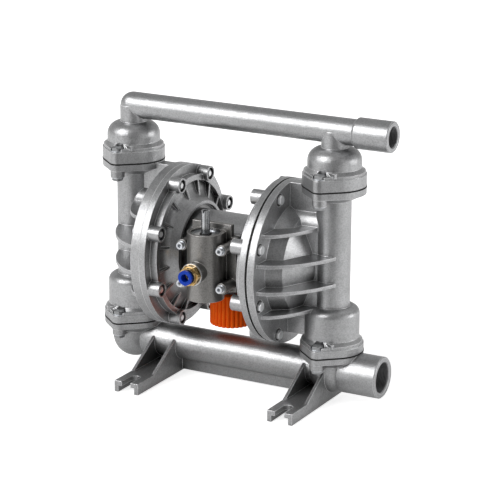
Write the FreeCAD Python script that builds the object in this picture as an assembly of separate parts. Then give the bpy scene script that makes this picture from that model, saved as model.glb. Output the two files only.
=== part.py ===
import FreeCAD, Part
import math
import os

os.makedirs("parts", exist_ok=True)

# Air operated double diaphragm pump in cast aluminium, in millimetres.
# While a piece is built, X = 0 is the middle between the two diaphragms, Y = 0 is the plane
# of the manifolds and Z = 0 is the floor. The air valve looks to -Y, both ports to +X.
# Each piece is saved with X = 0 at the middle of the four foot slots.

# Heights and reach of the main axes
column_x = 167.0
chamber_z = 199.0
suction_z = 44.0
discharge_z = 402.0
bottom_joint_z = 75.0
top_joint_z = 322.0
joint_gasket_t = 1.0

# Diaphragm chambers
gasket_x = 89.0
diaphragm_t = 3.6
flange_r = 121.0
fluid_flange_t = 10.4
air_flange_t = 9.8
rim_lip_w = 3.5
bolt_circle_r = 109.5
bolt_count = 8
dome_base_r = 86.0
dome_h = 48.0
dome_waist_x = 22.0
dome_waist_r = 74.0
dome_end_r = 22.0
chest_w = 42.0
wall = 6.0
upper_passage_h = 61.0
lower_passage_h = -70.0
upper_passage_r = 22.0
upper_passage_end = 158.0
lower_passage_r = 17.0
passage_bore_r = 12.0
upper_web_t = 20.0
lower_web_t = 26.0
rib_t = 5.0
rib_z_steps = (-60.0, -20.0, 20.0, 60.0)
rib_span = 77.0
rib_reach_x = 87.0
rib_reach_r = 113.0
rib_fullness = 1.6
ring_r = 106.0
ring_w = 8.0
ring_t = 11.5
lug_r = 11.4
lug_end_x = 59.0
lug_pocket_r = 9.0
lug_pocket_depth = 8.0
hub_x = 56.0
drum_r = 69.0
drum_end_x = 50.0
drum_wall = 4.5
channel_floor = 2.0
flare_x = 67.0
flare_r = 78.0
flare_round = 20.0
back_rib_count = 16
back_rib_t = 3.5
hub_screw_r = 3.0
hub_screw_count = 6
hub_screw_inset = 10.0
hub_screw_len = 18.0

# Columns and their ball valves
column_r = 25.5
column_bore_r = 18.0
housing_r = 40.0
housing_wall = 7.5
housing_top_z = 128.0
joint_r = 46.5
lobe_r = 11.0
lobe_y = 47.0
column_flange_t = 10.0
column_lobe_t = 20.0
housing_flange_t = 16.0
dome_flange_t = 22.0
bowl_flange_t = 9.0
bowl_lobe_t = 17.5
flange_step_w = 1.8
flange_step_h = 4.5
stop_rib_len = 15.0
stop_rib_t = 4.0
stop_rib_h = 5.0
ball_r = 20.0
ball_lift = 8.0
seat_bore_r = 15.0
seat_r = 28.0
seat_h = 8.0
cage_gap = 0.8
fit_gap = 0.05
seat_gap = 0.3
ball_gap = 0.45

# Manifold pipes and ports
discharge_pipe_r = 19.25
discharge_bore_r = 13.0
discharge_collar_r = 22.6
discharge_collar_x = 204.0
discharge_end_x = 258.0
discharge_thread_r = 15.15
discharge_thread_len = 24.0
dome_r = 39.3
dome_wall = 7.3
dome_round = 19.0
dome_top_z = 377.5
suction_pipe_r = 25.5
suction_bore_r = 18.5
suction_collar_r = 30.8
suction_collar_x = 189.0
suction_end_x = 250.0
suction_thread_r = 22.4
suction_thread_len = 28.0
port_chamfer = 1.5
collar_lead = 3.0
bowl_r = 34.0

# Feet of the suction manifold
foot_mid_x = 24.6
foot_spacing = 254.6
foot_w = 40.0
foot_reach = 134.0
foot_h = 17.0
foot_plate_t = 7.0
foot_side_t = 6.5
slot_w = 15.0
slot_depth = 33.0
gusset_t = 4.5
gusset_foot_y = 88.0
gusset_top_z = 56.0
web_t = 7.0
web_clear = 2.0

# Centre body with its exhaust outlet
center_r = 57.0
center_wall = 6.0
rod_housing_r = 24.0
pad_y = 49.5
pad_w = 82.0
pad_h = 84.0
rod_r = 10.0
bush_r = 15.0
bush_len = 18.0
seal_r = 14.0
seal_len = 4.0
plate_r = 46.0
inner_plate_t = 6.0
outer_plate_t = 9.0
stud_r = 6.0
roll_r = 79.0
roll_h = 9.0
pin_r = 3.0
pin_len = 36.0
pin_out = 6.0
pin_y = 34.0
pin_stroke = 4.0

# Air valve
valve_y = -77.7
valve_z = 198.4
valve_h = 100.0
valve_r = 27.0
valve_bore_r = 19.0
sleeve_bore_r = 15.0
cap_r = 22.0
cap_t = 7.0
cap_depth = 4.0
clip_t = 1.6
plate_t = 9.0
back_lip_h = 9.0
back_lip_w = 64.0
valve_gasket_t = 1.0
boss_r = 8.0
boss_y = -90.0
screw_x = 32.6
screw_z = 28.5
inlet_z = 194.0
inlet_boss_r = 15.5
inlet_boss_y = -118.0
hex_y = -127.0
fitting_af = 27.0
fitting_r = 13.0
fitting_y = -133.0
collet_r = 11.0
collet_y = -138.5
collet_stroke = 1.5
tube_r = 6.1
collet_neck = 8.0
spigot_r = 9.0
spigot_len = 9.0
duct_r = 5.0
duct_x = 12.0
screw_depth = 16.0
washer_t = 1.5
stem_r = 6.5
stem_top_z = 280.0
spool_stroke = 8.0

# Silencer
silencer_r = 32.0
silencer_h = 48.0
silencer_drop = 5.0
flute_count = 28
flute_depth = 3.0
nipple_r = 13.0
nipple_wall = 4.0
nipple_depth = 9.0
outlet_wall = 7.0
outlet_drop = 4.0

# Fasteners, by thread radius
joint_bolt_r = 5.0
chamber_bolt_r = 4.0
valve_screw_r = 3.0
hole_gap = 0.5
spot_r = 10.0
spot_depth = 0.8
pocket_r = 9.8
pocket_depth = 4.0
head_flats = 3.2
head_h = 1.3
nut_h = 1.3
joint_nut_h = 5.0

# Derived positions
dome_x = gasket_x + diaphragm_t / 2 + fluid_flange_t
air_face_x = gasket_x - diaphragm_t / 2
air_back_x = air_face_x - air_flange_t
seat_rest = math.sqrt(ball_r ** 2 - seat_bore_r ** 2)
cage_stop = seat_rest + ball_r + ball_lift + seat_gap
low_seat_z = bottom_joint_z + joint_gasket_t / 2
high_seat_z = top_joint_z - joint_gasket_t / 2
silencer_top_z = chamber_z - center_r - silencer_drop
silencer_bottom_z = silencer_top_z - silencer_h
ring_end_x = air_back_x - ring_t
ring_inner_r = ring_r - ring_w


def at(x, y, z):
    return FreeCAD.Vector(x, y, z)


def rod_along(axis, r, length, x, y, z):
    """A round bar that starts at a point and runs along an axis."""
    return Part.makeCylinder(r, length, at(x, y, z), at(*axis))


def bar_x(r, x0, x1, y, z):
    return rod_along((1, 0, 0), r, x1 - x0, x0, y, z)


def bar_y(r, y0, y1, x, z):
    return rod_along((0, 1, 0), r, y1 - y0, x, y0, z)


def bar_z(r, z0, z1, x, y):
    return rod_along((0, 0, 1), r, z1 - z0, x, y, z0)


def block(x0, x1, y0, y1, z0, z1):
    return Part.makeBox(x1 - x0, y1 - y0, z1 - z0, at(x0, y0, z0))


def hexagon(axis, flats, height, x, y, z):
    """A hexagonal prism with a given width over its flats."""
    corner_r = flats / math.sqrt(3)
    corners = [at(corner_r * math.cos(math.radians(60 * k)), corner_r * math.sin(math.radians(60 * k)), 0)
               for k in range(7)]
    prism = Part.Face(Part.makePolygon(corners)).extrude(at(0, 0, height))
    prism.Placement = FreeCAD.Placement(at(x, y, z), FreeCAD.Rotation(at(0, 0, 1), at(*axis)))
    return prism


def hex_head(axis, flats, height, x, y, z):
    """A hexagonal bolt head or nut with its corners turned off at the far end."""
    corner_r = flats / math.sqrt(3)
    turned = turned_z([(0, 0), (corner_r + 1, 0), (corner_r + 1, height - 1), (corner_r - 0.1, height - 0.9),
                       (flats * 0.47, height), (0, height)], 0, 0)
    head = hexagon((0, 0, 1), flats, height, 0, 0, 0).common(turned)
    head.Placement = FreeCAD.Placement(at(x, y, z), FreeCAD.Rotation(at(0, 0, 1), at(*axis)))
    return head


def rounded_face(corners, place):
    """A flat face from a closed outline. A corner with a third value is rounded to that radius."""
    runs = []
    arcs = []
    count = len(corners)
    for k in range(count):
        here = at(corners[k][0], corners[k][1], 0)
        if len(corners[k]) == 2:
            runs.append((here, here))
            arcs.append(None)
            continue
        radius = corners[k][2]
        back = (at(corners[k - 1][0], corners[k - 1][1], 0) - here).normalize()
        ahead = (at(corners[(k + 1) % count][0], corners[(k + 1) % count][1], 0) - here).normalize()
        half = back.getAngle(ahead) / 2
        bisector = (back + ahead).normalize()
        centre = here + bisector * (radius / math.sin(half))
        reach = radius / math.tan(half)
        runs.append((here + back * reach, here + ahead * reach))
        arcs.append(centre - bisector * radius)
    edges = []
    for k in range(count):
        start, end = runs[k]
        if arcs[k]:
            ends = [place(point.x, point.y) for point in (start, arcs[k], end)]
            edges.append(Part.Arc(*ends).toShape())
        onward = runs[(k + 1) % count][0]
        if end.distanceToPoint(onward) > 1e-6:
            edges.append(Part.makeLine(place(end.x, end.y), place(onward.x, onward.y)))
    return Part.Face(Part.Wire(edges))


def turned_x(outline, y, z):
    """Turn an outline of (x, radius) points about the line through y, z along X."""
    face = rounded_face(outline, lambda x, r: at(x, 0, r))
    solid = face.revolve(at(0, 0, 0), at(1, 0, 0), 360)
    solid.translate(at(0, y, z))
    return solid


def turned_z(outline, x, y):
    """Turn an outline of (radius, z) points about the upright line through x, y."""
    face = rounded_face(outline, lambda r, z: at(r, 0, z))
    solid = face.revolve(at(0, 0, 0), at(0, 0, 1), 360)
    solid.translate(at(x, y, 0))
    return solid


def slab_y(outline, y, thickness):
    """A plate cut to an outline of (x, z) points, centred on a plane of constant Y."""
    return rounded_face(outline, lambda x, z: at(x, y - thickness / 2, z)).extrude(at(0, thickness, 0))


def slab_x(outline, x, thickness):
    """A plate cut to an outline of (y, z) points, centred on a plane of constant X."""
    return rounded_face(outline, lambda y, z: at(x - thickness / 2, y, z)).extrude(at(thickness, 0, 0))


def lobed_plate(x, z0, z1, trim=0.0):
    """The outline of a ball valve joint: a disc with one bolt lobe to each side."""
    big = joint_r - trim
    small = lobe_r - trim
    lean = math.asin((big - small) / lobe_y)
    c = math.cos(lean)
    s = math.sin(lean)

    def lobe(side):
        return Part.Arc(at(side * small * c, side * (lobe_y + small * s), 0), at(0, side * (lobe_y + small), 0),
                        at(-side * small * c, side * (lobe_y + small * s), 0)).toShape()

    def belly(side):
        return Part.Arc(at(-side * big * c, side * big * s, 0), at(-side * big, 0, 0),
                        at(-side * big * c, -side * big * s, 0)).toShape()

    def tangent(side, y_side):
        lobe_end = at(side * small * c, y_side * (lobe_y + small * s), 0)
        return Part.makeLine(lobe_end, at(side * big * c, y_side * big * s, 0))

    edges = [lobe(1), tangent(-1, 1), belly(1), tangent(-1, -1),
             lobe(-1), tangent(1, -1), belly(-1), tangent(1, 1)]
    wire = Part.Wire(Part.__sortEdges__(edges))
    plate = Part.Face(wire).extrude(at(0, 0, z1 - z0))
    plate.translate(at(x, 0, z0))
    return plate


def joint_half(x, face_z, way, plate_t, lobe_t, neck_r):
    """One half of a ball valve joint: a lobed plate, a boss behind each lobe and a cone in to the pipe."""
    def level(height):
        return face_z + way * height

    def plate(near, far, trim):
        return lobed_plate(x, min(level(near), level(far)), max(level(near), level(far)), trim)

    if lobe_t > plate_t:
        cone = turned_z([(0, face_z), (joint_r - 1, face_z), (joint_r - 1, level(plate_t)), (neck_r, level(lobe_t)),
                         (0, level(lobe_t))], x, 0)
        low, high = sorted((face_z, level(lobe_t)))
        bosses = [bar_z(lobe_r - 0.5, low, high, x, side * lobe_y)
                  for side in (-1, 1)]
        return [plate(0, plate_t, 0), cone] + bosses
    foot = turned_z([(0, face_z), (neck_r + 4, face_z), (neck_r + 4, level(plate_t)), (neck_r, level(plate_t + 5)),
                     (0, level(plate_t + 5))], x, 0)
    return [plate(0, plate_t - flange_step_h, 0), plate(0, plate_t, flange_step_w), foot]


def stop_ribs(x, base_z):
    """A short slanted rib beside each bolt head, which keeps the head from turning."""
    ribs = []
    for side in (-1, 1):
        rib = block(-stop_rib_len / 2, stop_rib_len / 2, -stop_rib_t / 2, stop_rib_t / 2, -2, stop_rib_h)
        rib.rotate(at(0, 0, 0), at(0, 0, 1), -22)
        rib.translate(at(pocket_r + stop_rib_len / 2 - 1, -lobe_y + 7, 0))
        if side > 0:
            rib.rotate(at(0, 0, 0), at(0, 0, 1), 180)
        rib.translate(at(x, 0, base_z))
        ribs.append(rib)
    return ribs


def fused(shapes):
    whole = shapes[0]
    if len(shapes) > 1:
        whole = whole.fuse(shapes[1:])
    return whole.removeSplitter()


def cut(shape, tools):
    return shape.cut(tools).removeSplitter()


def sided(shape, side):
    """The right-hand piece as built, or its mirror image for the left."""
    if side > 0:
        return shape
    return shape.mirror(at(0, 0, 0), at(1, 0, 0))


def save(name, shape):
    moved = shape.copy()
    moved.translate(at(-foot_mid_x, 0, 0))
    moved.exportStep("parts/" + name + ".step")


def bolt_angles():
    return [360.0 / bolt_count * (k + 0.5) for k in range(bolt_count)]


def on_bolt_circle(angle):
    a = math.radians(angle)
    return bolt_circle_r * math.cos(a), chamber_z + bolt_circle_r * math.sin(a)


# Ball valves

def cage(x, seat_z, cavity_r):
    """Four fins that guide the ball and stop it at the top of its lift."""
    guide_r = ball_r + cage_gap
    fins = []
    for k in range(4):
        guide = block(guide_r, cavity_r + 2, -2, 2, seat_z + 3, seat_z + cage_stop + 5)
        stop = block(seat_r * 0.3, cavity_r + 2, -2, 2, seat_z + cage_stop, seat_z + cage_stop + 5)
        fin = guide.fuse(stop)
        fin.rotate(at(0, 0, 0), at(0, 0, 1), 45 + 90 * k)
        fin.translate(at(x, 0, 0))
        fins.append(fin)
    return fins


def make_seat(x, top_z):
    ring = bar_z(seat_r, top_z - seat_h, top_z, x, 0).cut(bar_z(seat_bore_r, top_z - seat_h, top_z, x, 0))
    return ring


def make_ball(x, top_z):
    return Part.makeSphere(ball_r, at(x, 0, top_z + seat_rest + ball_gap))


def seat_pocket(x, top_z):
    return bar_z(seat_r + fit_gap, top_z - seat_h, top_z + 1, x, 0)


def joint_holes(x, z0, z1):
    return [bar_z(joint_bolt_r + hole_gap, z0, z1, x, side * lobe_y) for side in (-1, 1)]


def head_pockets(x, face_z):
    """The recess that each bolt head of a joint stands in."""
    return [bar_z(pocket_r, face_z - pocket_depth, face_z + stop_rib_h + 1, x, side * lobe_y) for side in (-1, 1)]


# Fluid chamber with its column

def dome_outline(offset):
    """The turned outline of the fluid dome, or of its hollow when offset inward."""
    end_x = dome_x + dome_h - offset
    return [(gasket_x, 0), (gasket_x, dome_base_r - offset), (dome_x, dome_base_r - offset),
            (dome_x + dome_waist_x - offset / 2, dome_waist_r - offset),
            (end_x, dome_end_r - offset * 0.7), (end_x, 0)]


def chamber_rib(z_step):
    """One flat rib round the dome, its ends on the flange and its front on the column."""
    reach_y = math.sqrt(rib_reach_r ** 2 - z_step ** 2)
    reach_x = rib_reach_x * math.sqrt(1 - (z_step / rib_span) ** 2)
    power = 2 / rib_fullness
    turns = 24
    outline = []
    for k in range(turns + 1):
        a = math.pi * k / turns
        across = math.copysign(abs(math.cos(a)) ** power, math.cos(a))
        outline.append(at(dome_x + reach_x * abs(math.sin(a)) ** power, -reach_y * across, 0))
    curve = Part.BSplineCurve()
    curve.interpolate(outline)
    wire = Part.Wire([curve.toShape(), Part.makeLine(outline[-1], outline[0])])
    rib = Part.Face(wire).extrude(at(0, 0, rib_t))
    rib.translate(at(0, 0, chamber_z + z_step - rib_t / 2))
    return rib


def make_fluid_chamber():
    z0 = bottom_joint_z + joint_gasket_t / 2
    z1 = top_joint_z - joint_gasket_t / 2
    face_x = gasket_x + diaphragm_t / 2
    far_x = column_x + joint_r
    shoulder = housing_top_z + (housing_r - column_r)
    housing = turned_z([(0, z0), (housing_r, z0), (housing_r, shoulder - 4, 11), (column_r + 5, shoulder),
                        (column_r - 1, shoulder), (column_r - 1, shoulder + 3), (0, shoulder + 3)], column_x, 0)
    upper_z = chamber_z + upper_passage_h
    lower_z = chamber_z + lower_passage_h
    dome = turned_x(dome_outline(0), 0, chamber_z)
    body = fused([
        bar_x(flange_r, face_x, dome_x, 0, chamber_z),
        dome.common(block(face_x, far_x, -flange_r, flange_r, z0, z1)),
        bar_z(column_r, z0, z1, column_x, 0),
        housing,
        block(face_x + 1, column_x, -upper_web_t / 2, upper_web_t / 2, upper_z, z1 - 2),
        turned_x([(face_x + 1, 0), (face_x + 1, upper_passage_r), (upper_passage_end, upper_passage_r, 3),
                  (upper_passage_end, 0)], 0, upper_z),
        block(face_x + 1, column_x, -chest_w / 2, chest_w / 2, lower_z, upper_z),
        block(face_x + 1, column_x - column_r, -lower_web_t / 2, lower_web_t / 2,
              z0 + housing_flange_t + 2, lower_z),
        bar_x(lower_passage_r, face_x + 1, column_x, 0, lower_z),
    ] + joint_half(column_x, z0, 1, housing_flange_t, 0, housing_r)
      + joint_half(column_x, z1, -1, column_flange_t, column_lobe_t, column_r)
      + stop_ribs(column_x, z0 + housing_flange_t) + [chamber_rib(step) for step in rib_z_steps])
    housing_bore = housing_r - housing_wall
    roof = housing_top_z - 2
    hollow = [
        turned_x(dome_outline(wall), 0, chamber_z),
        bar_z(column_bore_r, z0 - 1, z1 + 1, column_x, 0),
        turned_z([(0, z0 - 1), (housing_bore, z0 - 1), (housing_bore, roof), (column_bore_r, roof + 10),
                  (0, roof + 10)], column_x, 0),
        bar_x(passage_bore_r, gasket_x, column_x, 0, upper_z),
        bar_x(passage_bore_r, gasket_x, column_x, 0, lower_z),
        seat_pocket(column_x, high_seat_z),
    ]
    hollow += joint_holes(column_x, z0 - 1, z0 + housing_flange_t + stop_rib_h)
    hollow += joint_holes(column_x, z1 - column_lobe_t - 1, z1 + 1)
    hollow += head_pockets(column_x, z0 + housing_flange_t)
    for angle in bolt_angles():
        y, z = on_bolt_circle(angle)
        hollow.append(bar_x(chamber_bolt_r + hole_gap, face_x - 1, dome_x + 1, y, z))
        hollow.append(bar_x(spot_r, dome_x - spot_depth, dome_x + 8, y, z))
    body = cut(body, hollow)
    guides = [fin.common(bar_z(housing_bore + 1, z0, roof, column_x, 0))
              for fin in cage(column_x, low_seat_z, housing_bore)]
    return fused([body] + guides)


def make_rim_lip():
    """A raised rim on the left casing that closes over the edge of its diaphragm."""
    t = diaphragm_t / 2
    rim = bar_x(flange_r, gasket_x - t, gasket_x + t + 1, 0, chamber_z)
    return rim.cut(bar_x(flange_r - rim_lip_w, gasket_x - t, gasket_x + t + 1, 0, chamber_z))


# Air chamber

def make_air_chamber():
    floor_x = air_back_x - channel_floor
    lip_r = drum_r - drum_wall
    drum = turned_x([(hub_x, 0), (hub_x, lip_r), (drum_end_x, lip_r), (drum_end_x, drum_r, 1),
                     (flare_x, flare_r, flare_round), (floor_x, ring_inner_r + 1),
                     (air_face_x, ring_inner_r + 1), (air_face_x, 0)], 0, chamber_z)
    ring = bar_x(ring_r, ring_end_x, air_back_x + 1, 0, chamber_z)
    ring = ring.cut(bar_x(ring_inner_r, ring_end_x, air_back_x + 1, 0, chamber_z))
    outer = [bar_x(flange_r, air_back_x, air_face_x, 0, chamber_z), ring, drum]
    for k in range(back_rib_count):
        rib = slab_y([(flare_x - 5, flare_r - 3.5), (ring_end_x + 1.5, ring_inner_r + 0.5),
                      (floor_x + 1, ring_inner_r + 0.5), (flare_x + 3, flare_r + 1)], 0, back_rib_t)
        rib.rotate(at(0, 0, 0), at(1, 0, 0), 360.0 / back_rib_count * (k + 0.5))
        rib.translate(at(0, 0, chamber_z))
        outer.append(rib)
    for angle in bolt_angles():
        y, z = on_bolt_circle(angle)
        outer.append(bar_x(lug_r, lug_end_x, air_back_x + 1, y, z))
    body = fused(outer)
    inside_x = hub_x + wall
    hollow = [turned_x([(inside_x, 0), (inside_x, drum_r - wall, 3),
                        (flare_x + 3.5, flare_r - wall - 0.5, 6), (air_face_x - 4, roll_r - 2),
                        (air_face_x + 1, roll_r), (air_face_x + 1, 0)], 0, chamber_z),
              bar_x(bush_r + fit_gap, hub_x - 1, inside_x + 1, 0, chamber_z),
              bar_x(pin_r + fit_gap, hub_x - 1, inside_x + 1, pin_y, chamber_z)]
    for angle in bolt_angles():
        y, z = on_bolt_circle(angle)
        hollow.append(bar_x(chamber_bolt_r + hole_gap, lug_end_x - 1, air_face_x + 1, y, z))
        hollow.append(bar_x(lug_pocket_r, lug_end_x - 1, lug_end_x + lug_pocket_depth, y, z))
    for k in range(hub_screw_count):
        y, z = hub_screw_place(k)
        hollow.append(bar_x(hub_screw_r + hole_gap, hub_x - 1, inside_x + 1, y, z))
    return cut(body, hollow)


def hub_screw_place(k):
    a = 2 * math.pi / hub_screw_count * (k + 0.5)
    r = center_r - hub_screw_inset
    return r * math.cos(a), chamber_z + r * math.sin(a)


def make_hub_screws():
    screws = []
    for k in range(hub_screw_count):
        y, z = hub_screw_place(k)
        under_head = hub_x + wall
        head = bar_x(hub_screw_r * 1.7, under_head, under_head + hub_screw_r * 1.5, y, z)
        screws.append(bar_x(hub_screw_r, under_head - hub_screw_len, under_head, y, z).fuse(head))
    return screws


# Diaphragm, plates and rod

def make_diaphragm(edge_r):
    """A flexible disc with one rolled wave between its rim and its plates."""
    t = diaphragm_t / 2
    inner = plate_r + 3
    middle = (roll_r + inner) / 2
    front = [(gasket_x + t, edge_r), (gasket_x + t, roll_r - 2), (gasket_x + t + roll_h * 0.7, middle + 12),
             (gasket_x + t + roll_h, middle), (gasket_x + t + roll_h * 0.7, middle - 12), (gasket_x + t, inner),
             (gasket_x + t, stud_r + seat_gap)]
    back = [(x - diaphragm_t, r) for x, r in reversed(front)]
    disc = turned_x(front + back, 0, chamber_z)
    hole_r = chamber_bolt_r + hole_gap
    holes = [bar_x(hole_r, gasket_x - 5, gasket_x + 5, *on_bolt_circle(a)) for a in bolt_angles()]
    return cut(disc, holes)


def make_outer_plate():
    x0 = gasket_x + diaphragm_t / 2 + seat_gap
    outline = [(x0, stud_r), (x0, plate_r - 3), (x0 + 2, plate_r - 1), (x0 + 4, plate_r - 2),
               (x0 + outer_plate_t, 20), (x0 + outer_plate_t + 4, 14), (x0 + outer_plate_t + 4, stud_r)]
    return turned_x(outline, 0, chamber_z)


def make_inner_plate():
    x1 = gasket_x - diaphragm_t / 2 - seat_gap
    outline = [(x1, stud_r), (x1, plate_r - 3), (x1 - 2, plate_r - 1), (x1 - 4, plate_r - 2),
               (x1 - inner_plate_t, 20), (x1 - inner_plate_t, stud_r)]
    return turned_x(outline, 0, chamber_z)


def make_rod():
    shoulder = gasket_x - diaphragm_t / 2 - seat_gap - inner_plate_t
    end = gasket_x + diaphragm_t / 2 + seat_gap + outer_plate_t + 4
    return fused([bar_x(rod_r, -shoulder, shoulder, 0, chamber_z), bar_x(stud_r, -end, end, 0, chamber_z)])


def make_bush():
    x1 = hub_x + wall
    bush = bar_x(bush_r, x1 - bush_len, x1, 0, chamber_z)
    return bush.cut(bar_x(rod_r + fit_gap, x1 - bush_len, x1, 0, chamber_z))


def make_seal():
    x1 = hub_x + wall - bush_len
    seal = bar_x(seal_r, x1 - seal_len, x1, 0, chamber_z)
    return seal.cut(bar_x(rod_r + fit_gap, x1 - seal_len, x1, 0, chamber_z))


def make_pin():
    return bar_x(pin_r, hub_x + wall + pin_out - pin_len, hub_x + wall + pin_out, pin_y, chamber_z)


# Centre body

def make_center_body():
    bottom_z = chamber_z - center_r
    shell = bar_x(center_r, -hub_x, hub_x, 0, chamber_z)
    room_x = hub_x - hub_screw_len + wall - 2
    room = bar_x(center_r - center_wall, -room_x, room_x, 0, chamber_z)
    shell = shell.cut(block(-hub_x - 1, hub_x + 1, -center_r - 1, -pad_y,
                            bottom_z - 1, chamber_z + center_r + 1))
    pad = block(-pad_w / 2, pad_w / 2, -pad_y, -center_r * 0.55, valve_z - pad_h / 2, valve_z + pad_h / 2)
    lower = bar_z(nipple_r + outlet_wall, bottom_z - outlet_drop, bottom_z + 14, 0, 0)
    screw_bars = [bar_y(boss_r, -pad_y, -rod_housing_r + 2, x, z) for x, z in valve_screw_places()]
    rod_housing = bar_x(rod_housing_r, -hub_x, hub_x, 0, chamber_z)
    body = fused([shell.cut(room), rod_housing, pad, lower] + screw_bars)
    tools = [bar_x(rod_r + 1.5, -hub_x - 1, hub_x + 1, 0, chamber_z),
             bar_z(nipple_r, bottom_z - outlet_drop - 1, bottom_z + nipple_depth, 0, 0),
             bar_z(nipple_r - nipple_wall, bottom_z, chamber_z - rod_housing_r - 2, 0, 0)]
    for side in (-1, 1):
        inner_x = hub_x + wall - bush_len - seal_len
        tools.append(sided(bar_x(bush_r + fit_gap, hub_x + wall - bush_len, hub_x + 1, 0, chamber_z), side))
        tools.append(sided(bar_x(seal_r + fit_gap, inner_x, hub_x, 0, chamber_z), side))
        tools.append(sided(bar_x(pin_r + fit_gap, hub_x + wall - pin_len, hub_x + 1, pin_y, chamber_z), side))
        for k in range(hub_screw_count):
            y, z = hub_screw_place(k)
            hole = bar_x(hub_screw_r + hole_gap, hub_x + wall - hub_screw_len - 1, hub_x + 1, y, z)
            tools.append(sided(hole, side))
        tools.append(bar_y(duct_r, -pad_y - 1, -pad_y + 12, side * duct_x, valve_z))
    for x, z in valve_screw_places():
        tools.append(bar_y(valve_screw_r + hole_gap, -pad_y - 1, -pad_y + screw_depth + 2, x, z))
    return cut(body, tools)


# Air valve

def valve_plate(y0, y1, trim):
    return block(-pad_w / 2 + trim, pad_w / 2 - trim, y0, y1,
                 valve_z - pad_h / 2 + trim, valve_z + pad_h / 2 - trim)


def valve_screw_places():
    return [(sx * screw_x, valve_z + sz * screw_z) for sx in (-1, 1) for sz in (-1, 1)]


def make_valve_body():
    z0 = valve_z - valve_h / 2
    z1 = valve_z + valve_h / 2
    back = -pad_y - valve_gasket_t
    parts = [bar_z(valve_r, z0, z1, 0, valve_y), valve_plate(back - plate_t, back, 1),
             block(-back_lip_w / 2, back_lip_w / 2, back - plate_t, back, valve_z, z1 + back_lip_h),
             block(-valve_r + 3, valve_r - 3, valve_y, back, z0 + 4, z1 - 1),
             bar_y(inlet_boss_r, inlet_boss_y, valve_y, 0, inlet_z)]
    parts += [bar_y(boss_r, boss_y, back, x, z) for x, z in valve_screw_places()]
    body = fused(parts)
    reach = screw_x + 3 * boss_r
    cap_end = cap_depth + cap_t
    tools = [block(-reach, reach, back, 0, z0 - 1, z1 + back_lip_h + 1),
             bar_z(valve_bore_r, z0 - 1, z1 + 1, 0, valve_y),
             bar_z(cap_r + fit_gap, z1 - cap_end, z1 + 1, 0, valve_y),
             bar_z(cap_r + fit_gap, z0 - 1, z0 + cap_end, 0, valve_y),
             bar_y(spigot_r, inlet_boss_y - 1, inlet_boss_y + spigot_len + 1, 0, inlet_z),
             bar_y(duct_r, inlet_boss_y + spigot_len, valve_y, 0, inlet_z)]
    for x, z in valve_screw_places():
        tools.append(bar_y(valve_screw_r + hole_gap, boss_y - 30, back + 1, x, z))
        tools.append(bar_y(boss_r, boss_y - 30, boss_y, x, z))
    tools += [bar_y(duct_r, valve_y, back + 1, side * duct_x, valve_z) for side in (-1, 1)]
    return cut(body, tools)


def make_valve_gasket():
    hole_r = valve_screw_r + hole_gap
    holes = [bar_y(hole_r, -pad_y - 5, -pad_y + 5, x, z) for x, z in valve_screw_places()]
    holes += [bar_y(duct_r, -pad_y - 5, -pad_y + 5, side * duct_x, valve_z) for side in (-1, 1)]
    return cut(valve_plate(-pad_y - valve_gasket_t, -pad_y, 0.5), holes)


def make_cap(z0, stem_hole):
    cap = bar_z(cap_r, z0, z0 + cap_t, 0, valve_y)
    if stem_hole:
        cap = cap.cut(bar_z(stem_r + fit_gap, z0, z0 + cap_t, 0, valve_y))
    return cap


def make_clip(z0):
    ring = bar_z(cap_r, z0, z0 + clip_t, 0, valve_y).cut(bar_z(cap_r - 4, z0, z0 + clip_t, 0, valve_y))
    return ring.cut(block(-3, 3, valve_y - cap_r - 1, valve_y, z0, z0 + clip_t))


def sleeve_ends():
    return valve_z - valve_h / 2 + cap_depth + cap_t, valve_z + valve_h / 2 - cap_depth - cap_t


def make_sleeve():
    z0, z1 = sleeve_ends()
    sleeve = bar_z(valve_bore_r, z0, z1, 0, valve_y).cut(bar_z(sleeve_bore_r + fit_gap, z0, z1, 0, valve_y))
    ports = [bar_y(duct_r, valve_y - valve_r, valve_y, 0, inlet_z)]
    ports += [bar_y(duct_r, valve_y, valve_y + valve_r, side * duct_x, valve_z) for side in (-1, 1)]
    return cut(sleeve, ports)


def make_spool():
    z0, z1 = sleeve_ends()
    low = z0 + 1
    high = z1 - spool_stroke - 1
    groove = (high - low) / 5
    spool = bar_z(sleeve_bore_r, low, high, 0, valve_y)
    rings = []
    for k in (1, 3):
        z = low + groove * k
        ring = bar_z(sleeve_bore_r + 1, z, z + groove, 0, valve_y)
        rings.append(ring.cut(bar_z(sleeve_bore_r * 0.67, z, z + groove, 0, valve_y)))
    return cut(spool, rings), high


def make_stem(spool_top):
    stem = bar_z(stem_r, spool_top, stem_top_z, 0, valve_y)
    slot = block(-1.2, 1.2, valve_y - 2 * stem_r, valve_y + 2 * stem_r, stem_top_z - 3, stem_top_z + 1)
    return cut(stem, [bar_z(stem_r * 0.6, stem_top_z - 8, stem_top_z + 1, 0, valve_y), slot])


def make_valve_screws():
    """Socket head screws on washers."""
    screws = []
    head_y = boss_y - washer_t - 2 * valve_screw_r
    for x, z in valve_screw_places():
        head = bar_y(valve_screw_r * 1.75, head_y, boss_y - washer_t, x, z)
        washer = bar_y(valve_screw_r * 2.1, boss_y - washer_t, boss_y, x, z)
        shank = bar_y(valve_screw_r, boss_y, -pad_y + screw_depth, x, z)
        socket = hexagon((0, 1, 0), valve_screw_r * 1.8, 4.5, x, head_y - 0.1, z)
        screws.append(cut(fused([head, washer, shank]), [socket]))
    return screws


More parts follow.
